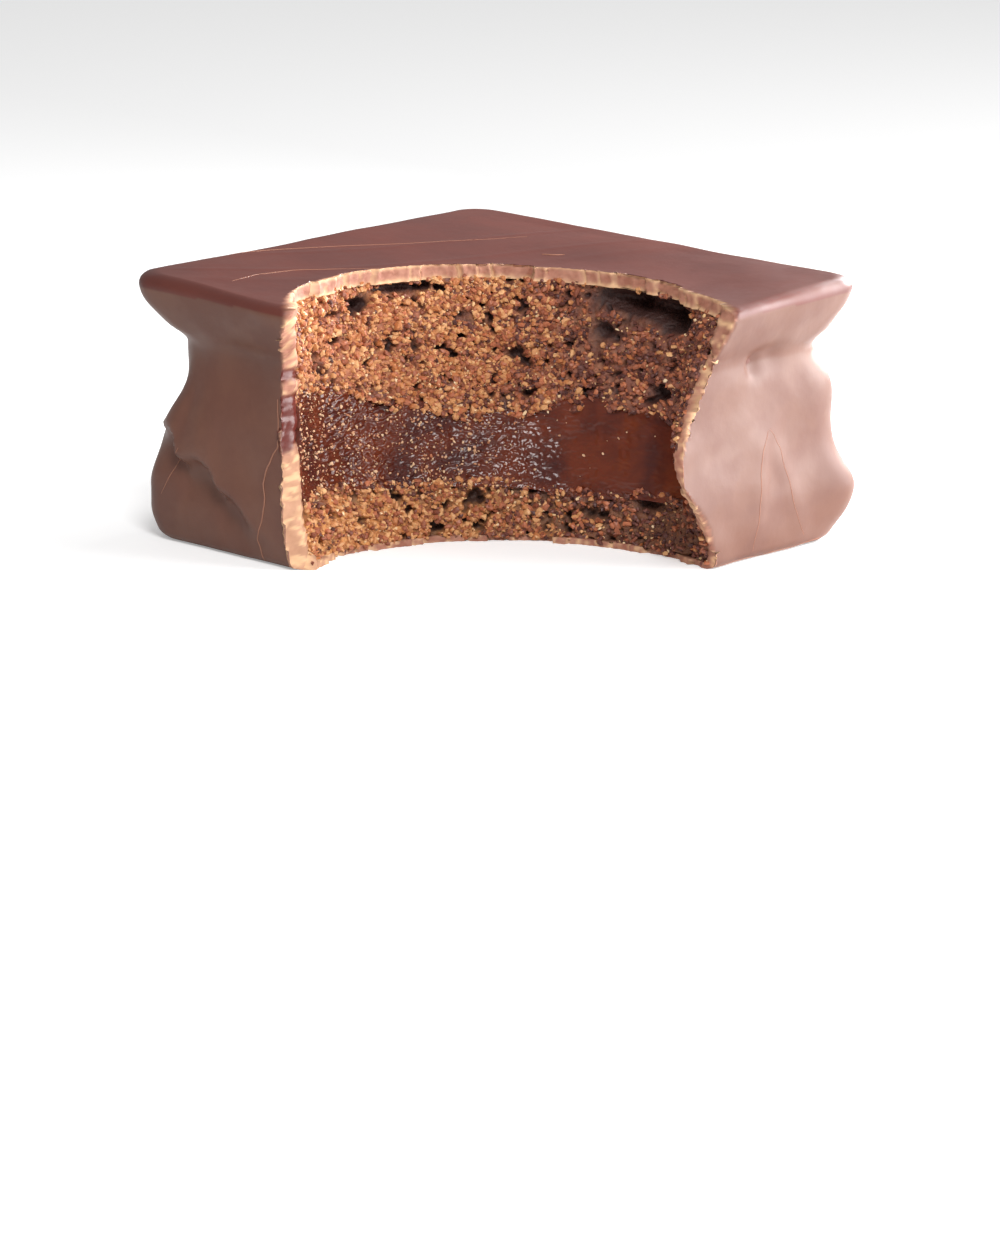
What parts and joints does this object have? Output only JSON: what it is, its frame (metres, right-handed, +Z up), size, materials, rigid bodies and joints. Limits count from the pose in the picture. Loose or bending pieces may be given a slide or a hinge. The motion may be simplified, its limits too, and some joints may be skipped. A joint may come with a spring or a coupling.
{
  "type": "alfajor cookie",
  "caption": "Square chocolate-coated alfajor with a bite out of one corner that shows two biscuit layers and a dark caramel filling.",
  "frame": {"origin": "middle of the flat underside, on the surface that the cookie rests on", "axes": "+Z up through the layers; X and Y along the sides of the square; the bitten corner points to +X, -Y"},
  "size_m": [0.0579, 0.0582, 0.029],
  "materials": {
    "chocolate": "set milk chocolate, satin, with a broad soft shine",
    "crumb": "baked biscuit crumb, matt and coarse",
    "filling": "soft caramel paste, moist, with an uneven gloss"
  },
  "bodies": {
    "root": {"chocolate_coating": "chocolate", "upper_biscuit": "crumb", "filling": "filling", "lower_biscuit": "crumb"}
  },
  "joints": []
}
